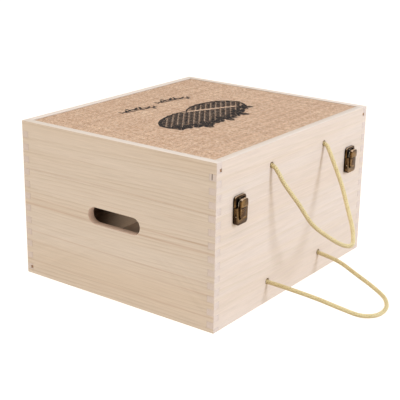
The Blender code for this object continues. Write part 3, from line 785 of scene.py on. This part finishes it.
def groove_fills():
    sunk = FILL_SUNK + FILL_SIZE / 2
    in_side, in_front = BOX_HIGH.x - GROOVE_MIDDLE, BOX_HIGH.y - GROOVE_MIDDLE
    lid_z, low_z = middle_of("lid_panel").z, middle_of("bottom_panel").z
    groove_fill("lid_groove_fill", "lid", [(sx * in_side, sy * (BOX_HIGH.y - sunk), lid_z)
                                           for sx in (-1, 1) for sy in (-1, 1)])
    groove_fill("body_groove_fill", "crate_body", [(sx * (BOX_HIGH.x - sunk), in_front, low_z)
                                                   for sx in (-1, 1)])


def panels_and_rails():
    for node, body in (("bottom_panel", "crate_body"), ("lid_panel", "lid"),
                       ("left_cradle_rail", "crate_body"), ("right_cradle_rail", "crate_body")):
        eased(node, body, PANEL_WOOD, PANEL_EASE)


# -------- cover and print
COVER_STEP = 0.003
COVER_THICKNESS = 0.0011
COVER_ROLL = 0.0010
COVER_RISE = 0.0006         # its padding lifts it over the model's flat block
INK_LIFT = 0.00012
SWELLINGS = ((24, 0.3, 0.00016), (90, 5.1, 0.00006))    # cells per metre, place in the noise, height


def cover_height(x, y):
    """Height of the cloth: nearly flat, with slight swellings, rolled down at its edge."""
    low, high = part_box("burlap_cover")
    swell = sum(noise.noise(Vector((x * cells, y * cells, place))) * rise
                for cells, place, rise in SWELLINGS)
    inset = min(x - low.x, high.x - x, y - low.y, high.y - y)
    if inset < COVER_ROLL:
        t = 1 - max(inset, 0.0) / COVER_ROLL
        swell -= COVER_ROLL * (1 - sqrt(max(0.0, 1 - t * t))) * 0.3
    return high.z + COVER_RISE + swell


def lines_between(low, high, step, edge):
    """Even places from low to high, with closer ones within the rolled edge."""
    near = [edge * t for t in (0.0, 0.12, 0.3, 0.6, 1.0)]
    count = round((high - low - 2 * edge) / step)
    middle = [low + edge + (high - low - 2 * edge) * i / count for i in range(1, count)]
    return [low + n for n in near] + middle + [high - n for n in reversed(near)]


def burlap_cover():
    """The cloth glued to the lid panel, cut to the opening between the boards."""
    low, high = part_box("burlap_cover")
    xs = lines_between(low.x, high.x, COVER_STEP, COVER_ROLL)
    ys = lines_between(low.y, high.y, COVER_STEP, COVER_ROLL)
    bm = bmesh.new()
    rows = [[bm.verts.new((x, y, cover_height(x, y))) for x in xs] for y in ys]
    for first, second in zip(rows, rows[1:]):
        for i in range(len(xs) - 1):
            bm.faces.new((first[i], first[i + 1], second[i + 1], second[i]))
    cover = piece("woven_cover", bm, [BURLAP], "lid", ["burlap_cover"])
    solid = cover.modifiers.new("thickness", "SOLIDIFY")
    solid.thickness = COVER_THICKNESS
    solid.offset = -1


class Print:
    """Flat ink shapes that lie on the cloth."""

    def __init__(self):
        self.bm = bmesh.new()

    def shape(self, points):
        """A filled outline, given counter-clockwise seen from above."""
        verts = [self.bm.verts.new((x, y, cover_height(x, y) + INK_LIFT)) for x, y in points]
        self.bm.faces.new(verts)

    def ribbon(self, points, widths):
        """A stroke along a line, with its own width at each point."""
        sides = []
        for i, (x, y) in enumerate(points):
            before, after = points[max(i - 1, 0)], points[min(i + 1, len(points) - 1)]
            along = Vector((after[0] - before[0], after[1] - before[1])).normalized()
            across = Vector((-along.y, along.x)) * widths[i] / 2
            pair = []
            for sign in (-1, 1):
                px, py = x + sign * across.x, y + sign * across.y
                pair.append(self.bm.verts.new((px, py, cover_height(px, py) + INK_LIFT)))
            sides.append(pair)
        for (a, b), (c, d) in zip(sides, sides[1:]):
            self.bm.faces.new((a, c, d, b))


GRAPE = 0.0039              # half the distance between neighbouring grapes
LINE_START = (-0.009, 0.0215)           # of the light line between the two bunches
LINE_TURN = radians(-24.5)
# Bunches: the side of the light line, and ellipses (x, y and the two radii)
BUNCHES = ((-1, ((-0.022, -0.012, 0.066, 0.035), (0.040, -0.016, 0.034, 0.018))),
           (1, ((0.034, 0.000, 0.051, 0.031),)))
# Stems: centre, radii, and the angles of their ends in degrees
CANES = (((-0.022, -0.012), (0.0655, 0.0350), 62, 222), ((0.034, 0.000), (0.0505, 0.0315), 148, -38))
# Vine leaves: x, y, size and turn in degrees
LEAVES = ((-0.070, -0.022, 0.019, 215), (-0.046, -0.033, 0.023, 262), (-0.021, -0.036, 0.014, 285),
          (0.003, -0.035, 0.021, 250), (0.029, -0.033, 0.021, 290), (0.064, -0.020, 0.017, 310),
          (0.046, -0.026, 0.013, 260))
# Lobes of a vine leaf (degrees, reach), and the outline of half a lobe (share of it, degrees)
LOBES = ((-118, 0.62), (-58, 0.86), (0, 1.0), (58, 0.86), (118, 0.62))
HALF_LOBE = ((0.06, 2), (0.30, 29), (0.52, 29), (0.58, 24), (0.74, 23), (0.78, 15), (0.92, 10), (1.0, 1.5))
STROKE_STEPS = 40           # of a stem or a sprig


def cell_reach(angle):
    """Distance to the side of a hexagonal cell, 1 where it meets its neighbours."""
    turn = (angle + pi / 6) % (pi / 3) - pi / 6
    return min(1 / cos(turn), 1.10)


def polar(centre, reach, angle):
    return centre[0] + reach * cos(angle), centre[1] + reach * sin(angle)


def grape(ink, centre):
    """A berry that fills its cell, with a light crescent on its upper left."""
    steps = 24
    light = radians(125) + LINE_TURN
    for i in range(steps):
        a, b = LINE_TURN + 2 * pi * i / steps, LINE_TURN + 2 * pi * (i + 1) / steps
        corners = ((cell_reach(a - LINE_TURN), a), (cell_reach(b - LINE_TURN), b), (0.82, b), (0.82, a))
        ink.shape([polar(centre, GRAPE * r, t) for r, t in corners])
    x, y = polar(centre, -0.16 * GRAPE, light)
    ink.shape([(x + GRAPE * 0.62 * c, y + GRAPE * 0.62 * s) for c, s in circle(20)])


def leaf(ink, centre, size, turn):
    """A vine leaf of five toothed lobes, with light veins left between their halves."""
    for lobe, reach in LOBES:
        for side in (-1, 1):
            axis = turn + radians(lobe)
            points = [polar(centre, size * reach * t, axis + side * radians(spread))
                      for t, spread in HALF_LOBE]
            ink.shape(points if side > 0 else points[::-1])


def bunch(ink, side, ellipses):
    """Rows of grapes along one side of the light line, inside any of the ellipses."""
    c, s = cos(LINE_TURN), sin(LINE_TURN)
    for row in range(11):
        across = side * (0.0021 + GRAPE * (1 + row * sqrt(3)))
        for column in range(-14, 15):
            along = (2 * column + row % 2) * GRAPE
            x = LINE_START[0] + along * c - across * s
            y = LINE_START[1] + along * s + across * c
            if any(((x - cx) / rx) ** 2 + ((y - cy) / ry) ** 2 < 1 for cx, cy, rx, ry in ellipses):
                grape(ink, (x, y))


def cane(ink, centre, radii, start, end):
    """A curved stem that bounds a bunch, thickest in its middle: angles in degrees."""
    points, widths = [], []
    for i in range(STROKE_STEPS + 1):
        angle = radians(start + (end - start) * i / STROKE_STEPS)
        points.append((centre[0] + radii[0] * cos(angle), centre[1] + radii[1] * sin(angle)))
        widths.append(0.0012 + 0.0034 * sin(pi * i / STROKE_STEPS))
    ink.ribbon(points if end > start else points[::-1], widths)


def vine_print():
    """Two bunches of grapes over a row of vine leaves, in one dark ink."""
    ink = Print()
    for side, ellipses in BUNCHES:
        bunch(ink, side, ellipses)
    for stem in CANES:
        cane(ink, *stem)
    for x, y, size, turn in LEAVES:
        leaf(ink, (x, y), size, radians(turn))
    return ink


def small_leaf(ink, base, length, width, angle):
    """A plain pointed leaf that grows from its base."""
    outline = [(0.0, 0.0), (0.25, -0.42), (0.55, -0.5), (1.0, 0.0), (0.55, 0.5), (0.25, 0.42)]
    c, s = cos(angle), sin(angle)
    ink.shape([(base[0] + length * t * c - width * w * s, base[1] + length * t * s + width * w * c)
               for t, w in outline])


def sprig(ink, start, length):
    """A laurel sprig that rises a little and then curls down to the right."""
    steps = STROKE_STEPS
    points = []
    for i in range(steps + 1):
        t = i / steps
        points.append((start[0] + length * t, start[1] + 0.0045 * sin(pi * 1.3 * t)
                       - 0.0075 * t ** 2 + 0.0012 * sin(20 * t)))
    ink.ribbon(points, [0.0020 + 0.0012 * sin(pi * i / steps) for i in range(steps + 1)])
    for i in range(1, steps, 3):
        side = 1 if i % 2 else -1
        (x0, y0), (x1, y1) = points[i - 1], points[i + 1]
        along = atan2(y1 - y0, x1 - x0)
        size = 0.0120 - 0.0035 * abs(2 * i / steps - 1)
        small_leaf(ink, points[i], size, size * 0.34, along + side * radians(58))


def printing():
    ink = vine_print()
    for start_x in (-0.067, 0.007):
        sprig(ink, (start_x, 0.0765), 0.059)
    piece("printed_vine_motif", ink.bm, [INK], "lid", smooth=False)


# -------- ropes
def smooth_route(points, step):
    """Even steps along a Catmull-Rom curve through the points."""
    knots = [Vector(p) for p in points]
    knots = [2 * knots[0] - knots[1]] + knots + [2 * knots[-1] - knots[-2]]
    dense = []
    for a, b, c, d in zip(knots, knots[1:], knots[2:], knots[3:]):
        for i in range(CURVE_STEPS):
            t = i / CURVE_STEPS
            dense.append(0.5 * (2 * b + (c - a) * t + (2 * a - 5 * b + 4 * c - d) * t ** 2
                                + (3 * b - a - 3 * c + d) * t ** 3))
    dense.append(knots[-2])
    lengths = [0.0]
    for p, q in zip(dense, dense[1:]):
        lengths.append(lengths[-1] + (q - p).length)
    count = round(lengths[-1] / step)
    even, k = [], 0
    for i in range(count + 1):
        goal = lengths[-1] * i / count
        while k < len(lengths) - 2 and lengths[k + 1] < goal:
            k += 1
        share = (goal - lengths[k]) / (lengths[k + 1] - lengths[k])
        even.append(dense[k].lerp(dense[k + 1], share))
    return even


def frames_along(points, side=None, closed=False):
    """A direction and two crosswise directions at each point, which never twist about the line."""
    frames, count = [], len(points)
    for i, point in enumerate(points):
        before, after = (i - 1, (i + 1) % count) if closed else (max(i - 1, 0), min(i + 1, count - 1))
        along = (points[after] - points[before]).normalized()
        side = Vector((0, 0, 1)).cross(along) if side is None else side - along * side.dot(along)
        side = side.normalized()
        frames.append((point, along, side, along.cross(side)))
    return frames


def sweep(bm, rings, closed=False, material=0):
    """Join rings of points into a tube, with its ends filled unless it is closed."""
    made = [[bm.verts.new(p) for p in ring] for ring in rings]
    pairs = list(zip(made, made[1:]))
    if closed:
        pairs.append((made[-1], made[0]))
    sides = len(made[0])
    faces = []
    for first, second in pairs:
        for i in range(sides):
            j = (i + 1) % sides
            faces.append(bm.faces.new((first[i], first[j], second[j], second[i])))
    if not closed:
        faces.append(bm.faces.new(made[0][::-1]))
        faces.append(bm.faces.new(made[-1]))
    for face in faces:
        face.material_index = material


def braid(bm, frames, radius, closed=False):
    """Strands that turn both ways round a core and pass over and under each other."""
    total = sum((b[0] - a[0]).length for a, b in zip(frames, frames[1:]))
    turns = max(1, round(total / STRAND_PITCH))
    middle = radius - STRAND_HALF_THICKNESS - STRAND_WEAVE
    for sense in (-1, 1):
        for strand in range(STRANDS):
            rings = []
            for i, (point, along, side, up) in enumerate(frames):
                phase = turns * i / (len(frames) if closed else len(frames) - 1)
                angle = 2 * pi * (sense * phase + strand / STRANDS)
                weave_phase = cos(2 * pi * STRANDS * phase) * sense
                outward = side * cos(angle) + up * sin(angle)
                lean = along.cross(outward) * sense
                slope = 2 * pi * middle / STRAND_PITCH
                strand_along = (along + lean * slope).normalized()
                across = outward.cross(strand_along)
                centre = point + outward * (middle + STRAND_WEAVE * weave_phase)
                rings.append([centre + outward * STRAND_HALF_THICKNESS * s + across * STRAND_HALF_WIDTH * c
                              for c, s in circle(STRAND_SIDES)])
            sweep(bm, rings, closed)
    # The core shows between the strands in its dark colour: painted shade in the gaps.
    core = radius - 2 * STRAND_HALF_THICKNESS - STRAND_WEAVE
    sweep(bm, [[point + (side * c + up * s) * core for c, s in circle(CORE_SIDES)]
               for point, along, side, up in frames[::3]], closed, 1)
    bmesh.ops.recalc_face_normals(bm, faces=bm.faces)


def rope(name, route, body):
    path = smooth_route(route, ROPE_STEP)
    bm = bmesh.new()
    braid(bm, frames_along(path), ROPE / 2)
    knots = knot_pair(name, body)
    obj = piece(f"braided_{name}", bm, [CORD, CORD_GAP_SHADE], body, [name])


def knot_path(centre):
    """An overhand knot drawn tight: a trefoil, flattened along the rope's way in."""
    points = []
    for i in range(KNOT_STEPS):
        t = 2 * pi * i / KNOT_STEPS
        points.append(Vector((
            centre[0] + KNOT_REACH * (sin(t) + 2 * sin(2 * t)),
            centre[1] - KNOT_DEPTH * sin(3 * t),
            centre[2] + KNOT_REACH * (cos(t) - 2 * cos(2 * t)))))
    return points


def knot_pair(name, body):
    """The stopper knots behind the two rope holes."""
    made = []
    prefix = name.split("_")[0]
    for side in ("left", "right"):
        node = f"{prefix}_knot_{side}"
        frames = frames_along(knot_path(middle_of(node)), Vector((0, 1, 0)), closed=True)
        bm = bmesh.new()
        braid(bm, frames, KNOT_ROPE / 2, closed=True)
        made.append(piece(f"tied_{node}", bm, [CORD, CORD_GAP_SHADE], body, [node]))
    return made


# -------- latches
LATCH_EASE = 0.00028
PIN_EASE = 0.0001
TONGUE_SET_BACK = 0.0018        # from the thumb piece's face to the tongue's
RIBS = 5
RIB_FIRST = 0.0030              # height of the lowest rib over the lever's end
RIB_SPACING = 0.0021
RIB_HALF_SIZE = Vector((0.0044, 0.00045, 0.00060))
DOME_RINGS = 6
DOME_SIDES = 24
BAIL_SWELL = 0.0001             # rounding thins the wire, so it is swollen first


def dome(bm, centre, radius, height, towards):
    """A shallow round head on a flat face, wide end first."""
    turn = Vector((0, 0, 1)).rotation_difference(Vector(towards)).to_matrix()
    rows = []
    for i in range(DOME_RINGS):
        angle = pi / 2 * i / DOME_RINGS
        wide, high = radius * cos(angle), height * sin(angle)
        rows.append([Vector(centre) + turn @ Vector((wide * c, wide * s, high))
                     for c, s in circle(DOME_SIDES)])
    sweep(bm, rows)


def lever_ribs(side):
    """Finger ribs pressed across the tongue."""
    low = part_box(f"{side}_latch_lever")[0]
    middle = middle_of(f"{side}_latch_lever").x
    face_y = low.y + TONGUE_SET_BACK
    bm = bmesh.new()
    for i in range(RIBS):
        place = Vector((middle, face_y, low.z + RIB_FIRST + RIB_SPACING * i))
        bmesh.ops.create_uvsphere(bm, u_segments=20, v_segments=10, radius=1.0,
                                  matrix=Matrix.LocRotScale(place, None, RIB_HALF_SIZE))
    piece(f"{side}_latch_finger_ribs", bm, [RIB_BRONZE], f"{side}_lever")


def round_wire(node, body):
    """The bail's bent wire, rounded from its plain model."""
    bm = bmesh.new()
    bm.from_mesh(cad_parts[node].data)
    bmesh.ops.remove_doubles(bm, verts=bm.verts, dist=1e-6)
    obj = piece(f"finished_{node}", bm, [BAIL_BRASS], body, [node])
    swell = obj.modifiers.new("full", "DISPLACE")
    swell.strength = BAIL_SWELL
    swell.mid_level = 0
    smooth = obj.modifiers.new("round", "SUBSURF")
    smooth.levels = 2
    smooth.render_levels = 2


def nail_head(node, body):
    low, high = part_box(node)
    centre = middle_of(node)
    centre.y = high.y
    bm = bmesh.new()
    dome(bm, centre, (high.x - low.x) / 2, high.y - low.y, (0, -1, 0))
    piece(f"finished_{node}", bm, [BRASS], body, [node])


def latches():
    for side in ("left", "right"):
        eased(f"{side}_latch_base", "crate_body", PLATE_BRONZE, LATCH_EASE * 1.6, 3)
        eased(f"{side}_latch_catch", "lid", PLATE_BRONZE, LATCH_EASE, 3)
        eased(f"{side}_latch_lever", f"{side}_lever", LEVER_BRONZE, LATCH_EASE, 3)
        eased(f"{side}_latch_pin", "crate_body", BRASS, PIN_EASE)
        lever_ribs(side)
        round_wire(f"{side}_latch_bail", f"{side}_bail")
        for number in (1, 2):
            nail_head(f"{side}_latch_base_nail_{number}", "crate_body")
        nail_head(f"{side}_latch_catch_nail", "lid")


# -------- hinges
HINGE_EASE = 0.0002
CROSS_WIDTH = 0.18          # of a screw's recess, as a share of its length


def cross_screw(node, body):
    """A domed screw head with a cross recess."""
    low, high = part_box(node)
    centre = middle_of(node)
    radius, height = (high.x - low.x) / 2, high.y - low.y
    bm = bmesh.new()
    dome(bm, (centre.x, low.y, centre.z), radius, height, (0, 1, 0))
    obj = piece(f"finished_{node}", bm, [BRASS], body, [node])
    bm = bmesh.new()
    for across, along in ((1, CROSS_WIDTH), (CROSS_WIDTH, 1)):
        add_box(bm, (centre.x, high.y + height * 0.05, centre.z),
                (radius * 1.1 * across, height * 1.1, radius * 1.1 * along))
    cutter = bpy.data.objects.new(f"{node}_recess", bmesh_to_mesh(bm, f"{node}_recess"))
    bpy.context.scene.collection.objects.link(cutter)
    recess = obj.modifiers.new("recess", "BOOLEAN")
    recess.operation = "DIFFERENCE"
    recess.solver = "EXACT"
    recess.use_self = True
    recess.object = cutter
    graph = bpy.context.evaluated_depsgraph_get()
    obj.data = bpy.data.meshes.new_from_object(obj.evaluated_get(graph))
    obj.modifiers.clear()
    bpy.data.objects.remove(cutter)


def hinges():
    for side in ("left", "right"):
        for owner, body in (("body", "crate_body"), ("lid", "lid")):
            eased(f"{side}_hinge_{owner}_leaf", body, BRONZE, HINGE_EASE)
            for number in (1, 2):
                cross_screw(f"{side}_hinge_{owner}_screw_{number}", body)
        eased(f"{side}_hinge_pin", "crate_body", BRASS, HINGE_EASE)


camera()
studio()
far_hole_daylight()
rope("upper_rope", UPPER_ROUTE, "lid")
rope("lower_rope", LOWER_ROUTE, "crate_body")
boards()
groove_fills()
panels_and_rails()
burlap_cover()
printing()
latches()
hinges()
